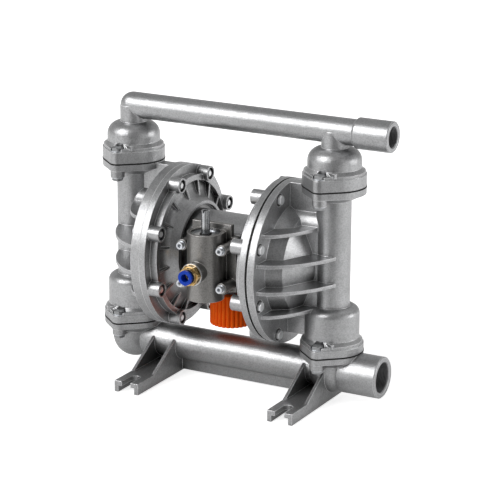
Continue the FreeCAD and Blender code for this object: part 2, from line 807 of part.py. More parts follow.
def make_fitting():
    parts = [hex_head((0, -1, 0), fitting_af, inlet_boss_y - hex_y, 0, inlet_boss_y, inlet_z),
             bar_y(fitting_r, fitting_y, hex_y, 0, inlet_z),
             bar_y(spigot_r - fit_gap, inlet_boss_y, inlet_boss_y + spigot_len, 0, inlet_z)]
    body = fused(parts)
    return cut(body, [bar_y(collet_r - 2 + seat_gap, fitting_y - 1, fitting_y + collet_neck, 0, inlet_z),
                      bar_y(tube_r, fitting_y, inlet_boss_y - 2, 0, inlet_z),
                      bar_y(tube_r - 1.6, fitting_y, inlet_boss_y + spigot_len + 1, 0, inlet_z)])


def make_collet():
    gap = collet_stroke + seat_gap
    head = bar_y(collet_r, collet_y, fitting_y - gap, 0, inlet_z)
    neck = bar_y(collet_r - 2, fitting_y - gap, fitting_y + collet_neck - gap, 0, inlet_z)
    return cut(fused([head, neck]), [bar_y(tube_r, collet_y - 1, fitting_y + collet_neck + 1, 0, inlet_z)])


# Silencer

def make_silencer():
    """A plastic cup with round flutes down its side."""
    edges = []
    valley_r = silencer_r - flute_depth
    for k in range(flute_count):
        a0 = 2 * math.pi * k / flute_count
        a1 = 2 * math.pi * (k + 0.5) / flute_count
        a2 = 2 * math.pi * (k + 1) / flute_count
        edges.append(Part.Arc(at(valley_r * math.cos(a0), valley_r * math.sin(a0), 0),
                              at(silencer_r * math.cos(a1), silencer_r * math.sin(a1), 0),
                              at(valley_r * math.cos(a2), valley_r * math.sin(a2), 0)).toShape())
    outer = Part.Face(Part.Wire(edges)).extrude(at(0, 0, silencer_h))
    outer.translate(at(0, 0, silencer_bottom_z))
    inside = bar_z(valley_r - 5, silencer_bottom_z - 1, silencer_top_z - 10, 0, 0)
    core = bar_z(nipple_r + nipple_wall, silencer_bottom_z + 6, silencer_top_z - 5, 0, 0)
    body = fused([cut(outer, [inside]), core])
    return cut(body, [bar_z(nipple_r, silencer_top_z - nipple_depth, silencer_top_z + 1, 0, 0)])


def make_nipple():
    z0 = silencer_top_z - nipple_depth
    z1 = chamber_z - center_r + nipple_depth
    return bar_z(nipple_r - fit_gap, z0, z1, 0, 0).cut(bar_z(nipple_r - nipple_wall, z0, z1, 0, 0))


# Manifolds

def collar(start_x, end_x, pipe_r, collar_r, z):
    """A thick pipe end with a led-in start and a chamfered rim."""
    return turned_x([(start_x - collar_lead, 0), (start_x - collar_lead, pipe_r), (start_x, collar_r, 2),
                     (end_x - port_chamfer, collar_r), (end_x, collar_r - port_chamfer), (end_x, 0)], 0, z)


def port_bore(end_x, thread_r, thread_len, z):
    """The tapping bore of a port with its lead-in."""
    return turned_x([(end_x - thread_len, 0), (end_x - thread_len, thread_r), (end_x - port_chamfer, thread_r),
                     (end_x + 1, thread_r + port_chamfer + 1), (end_x + 1, 0)], 0, z)


def make_discharge_manifold():
    z0 = top_joint_z + joint_gasket_t / 2
    z2 = z0 + dome_flange_t
    roof = dome_top_z - dome_wall
    outer = [Part.makeSphere(discharge_pipe_r, at(-column_x, 0, discharge_z)),
             bar_x(discharge_pipe_r, -column_x, discharge_collar_x, 0, discharge_z),
             collar(discharge_collar_x, discharge_end_x, discharge_pipe_r, discharge_collar_r, discharge_z)]
    hollow = [bar_x(discharge_bore_r, -column_x, discharge_end_x + 1, 0, discharge_z),
              port_bore(discharge_end_x, discharge_thread_r, discharge_thread_len, discharge_z)]
    fins = []
    bore = dome_r - dome_wall
    for side in (-1, 1):
        x = side * column_x
        ball_room = turned_z([(0, z0 - 1), (bore, z0 - 1), (bore, roof, dome_round - dome_wall / 2),
                              (0, roof)], x, 0)
        outer += joint_half(x, z0, 1, dome_flange_t, 0, dome_r)
        outer += [turned_z([(0, z0), (dome_r, z0), (dome_r, dome_top_z, dome_round), (0, dome_top_z)], x, 0),
                  bar_z(discharge_pipe_r + 0.6, roof, discharge_z, x, 0)] + stop_ribs(x, z2)
        hollow += [ball_room, bar_z(discharge_bore_r, roof - 1, discharge_z, x, 0)]
        hollow += joint_holes(x, z0 - 1, z2 + stop_rib_h) + head_pockets(x, z2)
        fins += [fin.common(ball_room) for fin in cage(x, high_seat_z, bore)]
    body = cut(fused(outer), hollow)
    reach = column_x + dome_r
    space = block(-reach, reach, -dome_r, dome_r, z0, dome_top_z)
    return fused([body] + [fin.common(space) for fin in fins])


def make_foot(x):
    """One foot rail: an upside-down channel with an open slot in each end and two gussets a side."""
    w = foot_w / 2
    rail = block(x - w, x + w, -foot_reach, foot_reach, 0, foot_h)
    trough = block(x - w + foot_side_t, x + w - foot_side_t, -foot_reach, foot_reach, 0, foot_h - foot_plate_t)
    parts = [rail.cut(trough)]
    for side in (-1, 1):
        for edge in (-1, 1):
            outline = [(side * gusset_foot_y, foot_h - 1), (side * suction_pipe_r * 0.8, gusset_top_z),
                       (0, gusset_top_z), (0, foot_h - 1)]
            parts.append(slab_x(outline, x + edge * (w - gusset_t / 2), gusset_t))
    return parts


def foot_slots(x):
    tools = []
    for side in (-1, 1):
        end = foot_reach + 1
        inner = foot_reach - slot_depth + slot_w / 2
        y0 = min(side * inner, side * end)
        tools.append(block(x - slot_w / 2, x + slot_w / 2, y0, y0 + end - inner, -1, foot_h + 1))
        tools.append(bar_z(slot_w / 2, -1, foot_h + 1, x, side * inner))
    return tools


def make_suction_manifold():
    z1 = bottom_joint_z - joint_gasket_t / 2
    outer = [bar_x(suction_pipe_r, -column_x, suction_collar_x, 0, suction_z),
             collar(suction_collar_x, suction_end_x, suction_pipe_r, suction_collar_r, suction_z)]
    hollow = [bar_x(suction_bore_r, -column_x, suction_end_x + 1, 0, suction_z),
              port_bore(suction_end_x, suction_thread_r, suction_thread_len, suction_z)]
    riser_r = seat_bore_r + 4
    for side in (-1, 1):
        x = side * column_x
        outer += joint_half(x, z1, -1, bowl_flange_t, bowl_lobe_t, bowl_r)
        outer += [bar_z(bowl_r, suction_z, z1, x, 0),
                  Part.makeSphere(bowl_r, at(x, 0, suction_z)).common(
                      block(x - bowl_r, x + bowl_r, -bowl_r, bowl_r, suction_z - bowl_r + 2, z1))]
        hollow += [bar_z(riser_r, suction_z, z1 + 1, x, 0), seat_pocket(x, low_seat_z - joint_gasket_t)]
        hollow += joint_holes(x, z1 - bowl_lobe_t - 1, z1 + 1)
        hollow += [block(x - joint_r - 10, x + joint_r, -joint_r - 10, joint_r + 10,
                         z1, z1 + suction_collar_r)]
    hollow += [Part.makeSphere(riser_r, at(-column_x, 0, suction_z))]
    feet = []
    cuts = []
    for side in (-1, 1):
        x = foot_mid_x + side * foot_spacing / 2
        feet += make_foot(x)
        cuts += foot_slots(x)
    web = block(foot_mid_x - foot_spacing / 2, foot_mid_x + foot_spacing / 2, -web_t / 2, web_t / 2,
                web_clear, suction_z)
    body = fused(outer + [fused(feet).cut(cuts), web])
    return cut(body, hollow)


def make_joint_gasket(x, z):
    half = joint_gasket_t / 2
    plate = lobed_plate(x, z - half, z + half, 1.2)
    return cut(plate, [bar_z(seat_r + 1, z - 2, z + 2, x, 0)] + joint_holes(x, z - 2, z + 2))


# Fasteners

def make_joint_bolt(x, y, under_head_z, nut_z):
    head = hex_head((0, 0, 1), joint_bolt_r * head_flats, joint_bolt_r * head_h, x, y, under_head_z)
    return fused([head, bar_z(joint_bolt_r, nut_z - joint_nut_h - 1, under_head_z, x, y)])


def make_joint_nut(x, y, top_z):
    nut = hex_head((0, 0, -1), joint_bolt_r * head_flats, joint_nut_h, x, y, top_z)
    return nut.cut(bar_z(joint_bolt_r + fit_gap, top_z - 2 * joint_nut_h, top_z + 1, x, y))


def make_chamber_bolts():
    bolts = []
    seat_x = dome_x - spot_depth
    for angle in bolt_angles():
        y, z = on_bolt_circle(angle)
        head = hex_head((1, 0, 0), chamber_bolt_r * head_flats, chamber_bolt_r * head_h, seat_x, y, z)
        bolts.append(fused([head, bar_x(chamber_bolt_r, lug_end_x + 1, seat_x, y, z)]))
    return bolts


def make_chamber_nuts():
    nuts = []
    seat_x = lug_end_x + lug_pocket_depth
    for angle in bolt_angles():
        y, z = on_bolt_circle(angle)
        nut = hex_head((-1, 0, 0), chamber_bolt_r * head_flats, chamber_bolt_r * nut_h, seat_x, y, z)
        nuts.append(nut.cut(bar_x(chamber_bolt_r + fit_gap, lug_end_x - 1, seat_x + 1, y, z)))
    return nuts


# Write every piece

save("discharge_manifold", make_discharge_manifold())
save("suction_manifold", make_suction_manifold())
save("center_body", make_center_body())

fluid_chamber = make_fluid_chamber()
air_chamber = make_air_chamber()
rim_lip = make_rim_lip()
for side, side_name in ((-1, "left"), (1, "right")):
    x = side * column_x
    casing = fluid_chamber if side > 0 else fused([fluid_chamber, rim_lip])
    save(side_name + "_fluid_chamber", sided(casing, side))
    save(side_name + "_air_chamber", sided(air_chamber, side))
    edge_r = flange_r if side > 0 else flange_r - rim_lip_w - seat_gap
    save(side_name + "_diaphragm", sided(make_diaphragm(edge_r), side))
    save(side_name + "_outer_plate", sided(make_outer_plate(), side))
    save(side_name + "_inner_plate", sided(make_inner_plate(), side))
    save(side_name + "_rod_bush", sided(make_bush(), side))
    save(side_name + "_rod_seal", sided(make_seal(), side))
    save(side_name + "_pilot_pin", sided(make_pin(), side))
    save(side_name + "_chamber_bolts", sided(Part.makeCompound(make_chamber_bolts()), side))
    save(side_name + "_chamber_nuts", sided(Part.makeCompound(make_chamber_nuts()), side))
    save(side_name + "_hub_screws", sided(Part.makeCompound(make_hub_screws()), side))
    save(side_name + "_suction_seat", make_seat(x, low_seat_z - joint_gasket_t))
    save(side_name + "_discharge_seat", make_seat(x, high_seat_z))
    save(side_name + "_suction_ball", make_ball(x, low_seat_z - joint_gasket_t))
    save(side_name + "_discharge_ball", make_ball(x, high_seat_z))
    save(side_name + "_suction_gasket", make_joint_gasket(x, bottom_joint_z))
    save(side_name + "_discharge_gasket", make_joint_gasket(x, top_joint_z))

save("diaphragm_rod", make_rod())

lobes = [(sx * column_x, sy * lobe_y) for sx in (-1, 1) for sy in (-1, 1)]
joints = {
    "discharge": (high_seat_z + joint_gasket_t + dome_flange_t, high_seat_z - column_lobe_t),
    "suction": (low_seat_z + housing_flange_t, low_seat_z - joint_gasket_t - bowl_lobe_t),
}
for joint, (upper_z, lower_z) in joints.items():
    bolts = [make_joint_bolt(x, y, upper_z - pocket_depth, lower_z) for x, y in lobes]
    save(joint + "_joint_bolts", Part.makeCompound(bolts))
    save(joint + "_joint_nuts", Part.makeCompound([make_joint_nut(x, y, lower_z) for x, y in lobes]))

spool, spool_top = make_spool()
save("valve_body", make_valve_body())
save("valve_gasket", make_valve_gasket())
save("valve_top_cap", make_cap(valve_z + valve_h / 2 - cap_depth - cap_t, True))
save("valve_bottom_cap", make_cap(valve_z - valve_h / 2 + cap_depth, False))
save("valve_top_clip", make_clip(valve_z + valve_h / 2 - cap_depth))
save("valve_bottom_clip", make_clip(valve_z - valve_h / 2 + cap_depth - clip_t))
save("valve_sleeve", make_sleeve())
save("valve_spool", spool)
save("reset_stem", make_stem(spool_top))
save("valve_screws", Part.makeCompound(make_valve_screws()))
save("inlet_fitting", make_fitting())
save("release_collet", make_collet())
save("silencer", make_silencer())
save("silencer_nipple", make_nipple())
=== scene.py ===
# %% [markdown]
# # An air operated diaphragm pump in cast aluminium
# This lesson dresses a finished CAD model of a double diaphragm pump. The CAD gives every main
# shape and size. Here the pump gets its finishes, the small parts that a casting shop and a fitter
# would add, a studio and a camera. Each step says what the real part is and why it is made this way.

# %% Load the pump
import bpy
import math
from mathutils import Matrix, Vector
from mathutils.geometry import tessellate_polygon


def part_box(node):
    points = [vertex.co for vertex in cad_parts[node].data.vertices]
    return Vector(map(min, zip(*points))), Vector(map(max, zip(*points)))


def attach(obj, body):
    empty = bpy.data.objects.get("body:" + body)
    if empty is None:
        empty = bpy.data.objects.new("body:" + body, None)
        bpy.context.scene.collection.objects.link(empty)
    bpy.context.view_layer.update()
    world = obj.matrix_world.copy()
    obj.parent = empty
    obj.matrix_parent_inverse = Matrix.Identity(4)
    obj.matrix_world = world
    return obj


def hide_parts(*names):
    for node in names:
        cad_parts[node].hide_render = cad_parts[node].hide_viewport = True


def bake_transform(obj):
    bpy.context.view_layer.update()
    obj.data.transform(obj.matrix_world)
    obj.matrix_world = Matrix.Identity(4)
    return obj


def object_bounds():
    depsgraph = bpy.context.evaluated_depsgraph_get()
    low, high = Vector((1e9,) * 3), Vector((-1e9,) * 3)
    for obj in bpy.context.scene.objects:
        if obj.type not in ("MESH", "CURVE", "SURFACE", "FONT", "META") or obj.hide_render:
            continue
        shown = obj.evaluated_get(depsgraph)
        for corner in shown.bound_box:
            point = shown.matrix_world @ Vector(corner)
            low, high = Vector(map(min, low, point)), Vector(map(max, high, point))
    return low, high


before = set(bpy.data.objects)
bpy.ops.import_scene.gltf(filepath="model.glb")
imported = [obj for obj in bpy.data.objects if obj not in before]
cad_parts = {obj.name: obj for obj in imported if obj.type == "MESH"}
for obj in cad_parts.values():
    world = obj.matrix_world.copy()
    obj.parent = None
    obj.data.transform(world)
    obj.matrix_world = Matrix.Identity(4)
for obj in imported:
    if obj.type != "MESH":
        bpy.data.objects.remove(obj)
cad_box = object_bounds()
MM = 0.001
SLOTS = {name: obj.data.materials[0].name for name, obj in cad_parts.items()}
for plain in list(bpy.data.materials):
    bpy.data.materials.remove(plain)


def corners(node):
    """The lowest and highest corner of a CAD node, in metres."""
    low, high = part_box(node)
    return Vector(low), Vector(high)


def middle(node):
    low, high = corners(node)
    return (low + high) / 2


# %% [markdown]
# ## The camera
# The photograph was taken from the front right, 28 degrees round and 16.5 degrees up, from about
# 3.2 m away. Such a distance makes the verticals stay upright and the far side nearly as large as
# the near one. The lens is long to match: 158 mm on a 36 mm wide frame. The camera could be aimed
# with a constraint, but three directions written into one matrix also give it its slight roll.

# %% Place the camera
AROUND = 28.29
UP = 16.48
ROLL = math.radians(0.32)
DISTANCE = 3.2339
TARGET = Vector((0.0063, 0.0, 0.2050))
FOCAL_LENGTH = 158.4
FRAME_WIDTH = 36.0
FARTHEST_SEEN = 60.0


def direction(around, up):
    """The way out from the pump: degrees round from the front and degrees up."""
    a, u = math.radians(around), math.radians(up)
    return Vector((math.sin(a) * math.cos(u), -math.cos(a) * math.cos(u), math.sin(u)))


back = direction(AROUND, UP)
right = direction(AROUND + 90, 0)
above = back.cross(right)
right_rolled = right * math.cos(ROLL) + above * math.sin(ROLL)
above_rolled = above * math.cos(ROLL) - right * math.sin(ROLL)

lens = bpy.data.cameras.new("lens")
lens.lens = FOCAL_LENGTH
lens.sensor_width = FRAME_WIDTH
lens.clip_end = FARTHEST_SEEN
camera = bpy.data.objects.new("camera", lens)
aim = Matrix((right_rolled, above_rolled, back)).transposed().to_4x4()
camera.matrix_world = Matrix.Translation(TARGET + back * DISTANCE) @ aim
bpy.context.scene.collection.objects.link(camera)
bpy.context.scene.camera = camera
bpy.context.scene.view_settings.view_transform = "Standard"
print("camera at", tuple(round(v, 3) for v in camera.matrix_world.translation))

# %% [markdown]
# ## Shader maths as Python
# A finish is easier to read as a formula than as a chain of boxes. A Signal wraps one output of a
# node, and adding or multiplying two signals adds the Math node that does it. Any other node comes
# from one method, which takes the node's type, its settings and what its sockets are given.


# %% A graph and its signals
class Signal:
    """One output of a node, with arithmetic."""

    def __init__(self, graph, socket):
        self.graph = graph
        self.socket = socket

    def maths(self, operation, first, second):
        return self.graph.node("ShaderNodeMath", {"operation": operation}, {0: first, 1: second})

    def __add__(self, other):
        return self.maths("ADD", self, other)

    def __radd__(self, other):
        return self.maths("ADD", other, self)

    def __sub__(self, other):
        return self.maths("SUBTRACT", self, other)

    def __rsub__(self, other):
        return self.maths("SUBTRACT", other, self)

    def __mul__(self, other):
        return self.maths("MULTIPLY", self, other)

    def __rmul__(self, other):
        return self.maths("MULTIPLY", other, self)

    def between(self, low, high):
        """0 below low, 1 above high, and a straight ramp in the middle."""
        return self.graph.node("ShaderNodeMapRange", {"clamp": True},
                               {"Value": self, "From Min": low, "From Max": high})


class Graph:
    """A node tree that is built by calls."""

    def __init__(self, tree):
        self.tree = tree

    def node(self, kind, settings=None, inputs=None, output=0):
        """Adds any node: its settings come first, then the values or links of its sockets."""
        made = self.tree.nodes.new(kind)
        for name, value in (settings or {}).items():
            setattr(made, name, value)
        for name, value in (inputs or {}).items():
            if isinstance(value, Signal):
                self.tree.links.new(value.socket, made.inputs[name])
            else:
                made.inputs[name].default_value = value
        return Signal(self, made.outputs[output]) if made.outputs else made

    def vector(self, operation, first, second=None, output="Vector"):
        """One step of vector arithmetic. Its output is a Vector, or a Value such as a length."""
        inputs = {0: first} if second is None else {0: first, 1: second}
        return self.node("ShaderNodeVectorMath", {"operation": operation}, inputs, output)

    def ray(self, kind):
        """1 where the light path is of the given kind."""
        return self.node("ShaderNodeLightPath", output="Is " + kind + " Ray")


def rgb(red, green, blue):
    return (red, green, blue, 1.0)


def grey(level):
    return rgb(level, level, level)


def paler(colour, times, plus=0.0):
    """The same hue, lighter, and never above white."""
    return rgb(*(min(1.0, value * times + plus) for value in colour[:3]))


# %% [markdown]
# ## What every finish shares
# A real surface is never one even grey. It has a slow drift of tone, a grain, edges that are worn
# brighter and softened by blasting. These could be painted on a texture, but then each piece would
# need its own picture. Noise on the object's own coordinates gives the drift and the grain on any
# piece. The edge comes from the Bevel node, which also rounds each sharp CAD edge in the shading.
# Where its normal differs from the plain one, there is an edge.


# %% The finish maker
class Finish(Graph):
    """A material with the patterns that the pump's finishes are mixed from."""

    def __init__(self, name):
        self.material = bpy.data.materials.new(name)
        self.material.use_nodes = True
        super().__init__(self.material.node_tree)
        self.tree.nodes.clear()
        self.place = self.node("ShaderNodeTexCoord", output="Object")

    def noise(self, size, detail=2.0, rough=0.55):
        """Cloudy noise with features of about the given size in metres, from 0 to 1."""
        return self.node("ShaderNodeTexNoise", {}, {"Vector": self.place, "Scale": 1.0 / size,
                                                    "Detail": detail, "Roughness": rough})

    def soft_normal(self, radius):
        """The normal as if every edge were rounded by the radius."""
        return self.node("ShaderNodeBevel", {"samples": 6}, {"Radius": radius})

    def edge(self, soft):
        """1 along edges, 0 on flats, from how far the softened normal leans away."""
        plain = self.node("ShaderNodeNewGeometry", output="Normal")
        flat = self.vector("DOT_PRODUCT", soft, plain, "Value")
        return (1.0 - flat).between(0.008, 0.11)

    def crevice(self, reach):
        """1 in tight corners, 0 on open faces."""
        open_sky = self.node("ShaderNodeAmbientOcclusion", {"samples": 4}, {"Distance": reach}, "AO")
        return (1.0 - open_sky).between(0.25, 0.85)

    def mix(self, mask, colour_a, colour_b):
        """Colour a where the mask is 0, b where it is 1. Sockets 6, 7 and 2 are those for colours."""
        return self.node("ShaderNodeMix", {"data_type": "RGBA"}, {0: mask, 6: colour_a, 7: colour_b}, 2)

    def bump(self, height, strength, depth, normal=None):
        inputs = {"Height": height, "Strength": strength, "Distance": depth}
        if normal is not None:
            inputs["Normal"] = normal
        return self.node("ShaderNodeBump", {}, inputs)

    def surface(self, **sockets):
        """Closes the finish with one Principled shader."""
        named = {name.replace("_", " "): value for name, value in sockets.items()}
        shader = self.node("ShaderNodeBsdfPrincipled", {}, named)
        self.node("ShaderNodeOutputMaterial", {}, {"Surface": shader})
        return self.material


# %% [markdown]
# ## Cast aluminium
# The castings are blasted and then sprayed with a thin silver coat. That gives a satin mid grey
# with broad highlights: metal under a fine, slightly uneven grain of about two millimetres, with
# bright edges that are partly rubbed and partly a painted highlight. One plain metal would do from
# afar, but it looks like plastic near by. So the coat is mixed from grey levels. Every casting is
# darker in its tight corners, as painted shade. Three variants also have painted shade deep in their
# hollows: the deep air chambers have the most, the pipe with the feet less, and the air valve is
# also a darker casting.

# %% Cast aluminium
COAT = 0.44
PALE_COAT = 0.52
BLOTCH = 0.33
SPECK = 0.25
RUBBED_AND_HIGHLIT = 0.96
CORNER_SHADE = grey(0.07)
CAVITY_SHADE = rgb(0.11, 0.108, 0.105)
CORNER_REACH = 12 * MM
CAVITY_REACH = 50 * MM


def tinted(tint, level):
    """A cool grey of the given level, under a tint."""
    return rgb(level * 0.995 * tint[0], level * tint[1], level * 1.012 * tint[2])


def cast_aluminium(name, tint=(1.0, 1.0, 1.0), hollow_shade=0.0):
    """Sprayed casting. The tint darkens it, and hollow_shade sets how much painted shade lies deep inside.
    """
    finish = Finish(name)
    drift = finish.noise(55 * MM)
    blotch = finish.noise(9 * MM, 3.0, 0.6)
    grain = finish.noise(1.9 * MM, 2.0, 0.65)
    orange_peel = finish.noise(4.5 * MM, 2.0, 0.5)
    soft = finish.soft_normal(1.5 * MM)
    edge = finish.edge(soft)
    # Each mix lays the next pattern over the last one, from the slow drift to the bright edges. The dark
    # mixes in hollows and corners are painted shade, and the bright edges are partly rubbed and partly
    # painted highlight.
    tone = finish.mix(drift.between(0.3, 0.7), tinted(tint, COAT), tinted(tint, PALE_COAT))
    blotched = finish.mix(blotch.between(0.45, 0.75) * 0.40, tone, tinted(tint, BLOTCH))
    speckled = finish.mix(grain.between(0.45, 0.62) * 0.50, blotched, tinted(tint, SPECK))
    # Painted shade deep in the hollows, as strong as hollow_shade asks for.
    if hollow_shade:
        speckled = finish.mix(finish.crevice(CAVITY_REACH) * hollow_shade, speckled, CAVITY_SHADE)
    # Painted shade in the tight corners of every casting.
    corner_shaded = finish.mix(finish.crevice(CORNER_REACH) * 0.65, speckled, CORNER_SHADE)
    # Lighter, less metallic edges: partly rubbed wear and partly a painted highlight.
    worn_and_highlit = finish.mix(edge * 0.90, corner_shaded, tinted(tint, RUBBED_AND_HIGHLIT))
    height = grain * 0.8 + orange_peel * 0.8
    return finish.surface(Base_Color=worn_and_highlit, Metallic=0.92 - edge * 0.5,
                          Roughness=0.31 + blotch * 0.13 - edge * 0.05,
                          Normal=finish.bump(height, 0.7, 0.34 * MM, soft))


CAST = cast_aluminium("cast_aluminium")
DEEP_SHADED_CAST = cast_aluminium("deep_cast_aluminium", hollow_shade=0.65)
FOOT_SHADED_CAST = cast_aluminium("foot_cast_aluminium", hollow_shade=0.45)
VALVE_CAST = cast_aluminium("valve_cast_aluminium", (0.66, 0.64, 0.61), 0.4)
print("cast finishes:", CAST.name, DEEP_SHADED_CAST.name, FOOT_SHADED_CAST.name, VALVE_CAST.name)

# %% [markdown]
# ## Turned and drawn metals
# The rod is ground steel, the fitting is turned brass and the bushes are bronze. Bolts are zinc
# plated, and each kind gets its own tone: the heads round the chambers are nearly white, a painted
# highlight; the nuts and the joint bolts are darker, a painted shade; and the washers behind the
# bright heads are nearly black, a painted shadow round each head. The cut threads in the ports are
# dark too, because little light gets between their turns. One maker covers them all, because they
# differ only in colour, roughness and how deep their fine tool lines are.

# %% Metals
def plain_metal(name, dark, light, roughness, line_depth, metallic=1.0):
    """Bare or plated metal, with its tone drifting from dark to light and its edges a little rubbed."""
    finish = Finish(name)
    drift = finish.noise(12 * MM)
    lines = finish.noise(0.45 * MM, 2.0, 0.5)
    soft = finish.soft_normal(0.4 * MM)
    edge = finish.edge(soft)
    tone = finish.mix(drift.between(0.3, 0.7), dark, light)
    bright = finish.mix(edge * 0.35, tone, paler(light, 1.25))
    return finish.surface(Base_Color=bright, Metallic=metallic, Roughness=roughness + lines * 0.12,
                          Normal=finish.bump(lines, 0.35, line_depth, soft))


FINE = 0.06 * MM
TURNED = 0.08 * MM
MILLED = 0.12 * MM
MACHINED = plain_metal("machined_aluminium", rgb(0.50, 0.51, 0.52), rgb(0.62, 0.63, 0.64), 0.26, MILLED)
ZINC = plain_metal("zinc_steel", rgb(0.55, 0.57, 0.60), rgb(0.72, 0.74, 0.77), 0.22, FINE)
STEEL = plain_metal("bare_steel", rgb(0.42, 0.43, 0.44), rgb(0.56, 0.57, 0.58), 0.20, FINE)
BRASS = plain_metal("brass", rgb(0.42, 0.27, 0.10), rgb(0.78, 0.55, 0.25), 0.16, FINE)
BRONZE = plain_metal("bronze", rgb(0.48, 0.28, 0.12), rgb(0.60, 0.38, 0.18), 0.30, TURNED)
THREAD = plain_metal("cut_thread", grey(0.10), rgb(0.16, 0.16, 0.165), 0.34, TURNED)
# Nearly white zinc: a painted highlight on the chamber bolt heads.
HIGHLIT_ZINC = plain_metal("bright_zinc", rgb(0.88, 0.89, 0.90), rgb(0.96, 0.97, 0.98), 0.26, FINE, 0.60)
# Darker zinc: painted shade on the nuts and the joint bolts.
SHADED_ZINC = plain_metal("dull_zinc", rgb(0.26, 0.265, 0.27), rgb(0.36, 0.365, 0.37), 0.34, TURNED)
# Nearly black zinc: a painted shadow round the chamber bolt heads.
SHADOW_RING_ZINC = plain_metal("dark_zinc", grey(0.10), grey(0.15), 0.40, FINE)
print("materials so far:", len(bpy.data.materials))

# %% [markdown]
# ## Plastics and rubber
# The collet and the silencer are moulded, so they are smooth with a faint flow mark. The rubber of
# the diaphragms is matt with a dusty bloom, and the balls and seats are white fluoroplastic. A
# strong gloss would wash the deep blue and orange out, so their specular level is set low.

# %% Plastics and rubber
def moulded(name, deep, pale, roughness, skin_size, depth, gloss=0.5):
    """Moulded plastic or rubber: one colour from deep to pale under a fine skin."""
    finish = Finish(name)
    drift = finish.noise(15 * MM)
    skin = finish.noise(skin_size, 2.0, 0.5)
    soft = finish.soft_normal(0.5 * MM)
    edge = finish.edge(soft)
    tone = finish.mix(drift.between(0.25, 0.75), deep, pale)
    rubbed = finish.mix(edge * 0.3, tone, paler(pale, 1.35, 0.02))
    return finish.surface(Base_Color=rubbed, Metallic=0.0, Roughness=roughness + skin * 0.12,
                          Specular_IOR_Level=gloss, Normal=finish.bump(skin, 0.4, depth, soft))


BLUE = moulded("blue_plastic", rgb(0.001, 0.034, 0.36), rgb(0.001, 0.052, 0.48), 0.26,
               0.8 * MM, 0.05 * MM, 0.25)
ORANGE = moulded("orange_plastic", rgb(0.90, 0.100, 0.001), rgb(0.98, 0.140, 0.002), 0.38,
                 1.2 * MM, 0.1 * MM, 0.12)
RUBBER = moulded("black_rubber", grey(0.012), rgb(0.022, 0.021, 0.021), 0.60, 0.9 * MM, 0.1 * MM, 0.2)
PTFE = moulded("white_ptfe", rgb(0.74, 0.74, 0.72), rgb(0.82, 0.82, 0.80), 0.42, 1.2 * MM, 0.05 * MM)
print("materials so far:", len(bpy.data.materials))

# %% [markdown]
# ## Each CAD piece in its finish
# Every CAD node names the stuff that it is made of, and one table turns that name into a finish. A
# few nodes are of the same stuff and get a finish of their own, such as the deep air chambers, with
# more painted shade, and the chamber bolts, with a painted highlight. A second table, by the node's
# own name, comes before the first.

# %% Give each CAD node its finish
FINISHES = {"cast_aluminium": CAST, "machined_aluminium": MACHINED, "zinc_steel": ZINC,
            "bare_steel": STEEL, "brass": BRASS, "bronze": BRONZE, "blue_plastic": BLUE,
            "orange_plastic": ORANGE, "black_rubber": RUBBER, "white_ptfe": PTFE}
OWN_FINISH = {"center_body": DEEP_SHADED_CAST, "valve_body": VALVE_CAST, "suction_manifold": FOOT_SHADED_CAST}
for node in SLOTS:
    if node.endswith("_air_chamber"):
        OWN_FINISH[node] = DEEP_SHADED_CAST
    if node.endswith("_chamber_bolts"):
        OWN_FINISH[node] = HIGHLIT_ZINC
    if node.endswith(("_nuts", "_joint_bolts")):
        OWN_FINISH[node] = SHADED_ZINC


def dress(obj, material):
    obj.data.materials.clear()
    obj.data.materials.append(material)


for node, slot in SLOTS.items():
    dress(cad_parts[node], OWN_FINISH.get(node, FINISHES[slot]))
print("slots in use:", len(set(SLOTS.values())), "nodes with a finish of their own:", len(OWN_FINISH))

# %% [markdown]
# ## Geometry Nodes for what repeats
# Threads, washers, teeth and ribs repeat one small shape along a rule. They could be copied by
# hand, but a tree of nodes keeps the rule, and its sizes stay named inputs. A small builder makes
# the tree, and a second one turns the grown result into a plain mesh, so that the export and the
# joints see ordinary pieces.


# %% The pattern maker
class Pattern(Graph):
    """A Geometry Nodes tree with named sizes. Its shape is the mesh that it is given."""

    def __init__(self, name):
        super().__init__(bpy.data.node_groups.new(name, "GeometryNodeTree"))
        for way in ("INPUT", "OUTPUT"):
            self.tree.interface.new_socket(name="Geometry", in_out=way, socket_type="NodeSocketGeometry")
        self.source = self.tree.nodes.new("NodeGroupInput")
        self.shape = Signal(self, self.source.outputs["Geometry"])
        self.sizes = {}

    def size(self, name, value, kind="NodeSocketFloat"):
        socket = self.tree.interface.new_socket(name=name, in_out="INPUT", socket_type=kind)
        self.sizes[socket.identifier] = value
        return Signal(self, self.source.outputs[name])

    def moved(self, geometry, turn, place):
        return self.node("GeometryNodeTransform", {}, {"Geometry": geometry, "Rotation": turn,
                                                      "Translation": place})

    def flat(self, geometry):
        return self.node("GeometryNodeSetShadeSmooth", {}, {"Geometry": geometry, "Shade Smooth": False})

    def close(self, geometry, material):
        real = self.node("GeometryNodeRealizeInstances", {}, {"Geometry": geometry})
        coated = self.node("GeometryNodeSetMaterial", {}, {"Geometry": real, "Material": material})
        self.node("NodeGroupOutput", {}, {"Geometry": coated})


def mesh_of(name, points, faces):
    """A plain mesh with flat faces."""
    mesh = bpy.data.meshes.new(name)
    mesh.from_pydata([tuple(p) for p in points], [], faces)
    mesh.update()
    for face in mesh.polygons:
        face.use_smooth = False
    return mesh


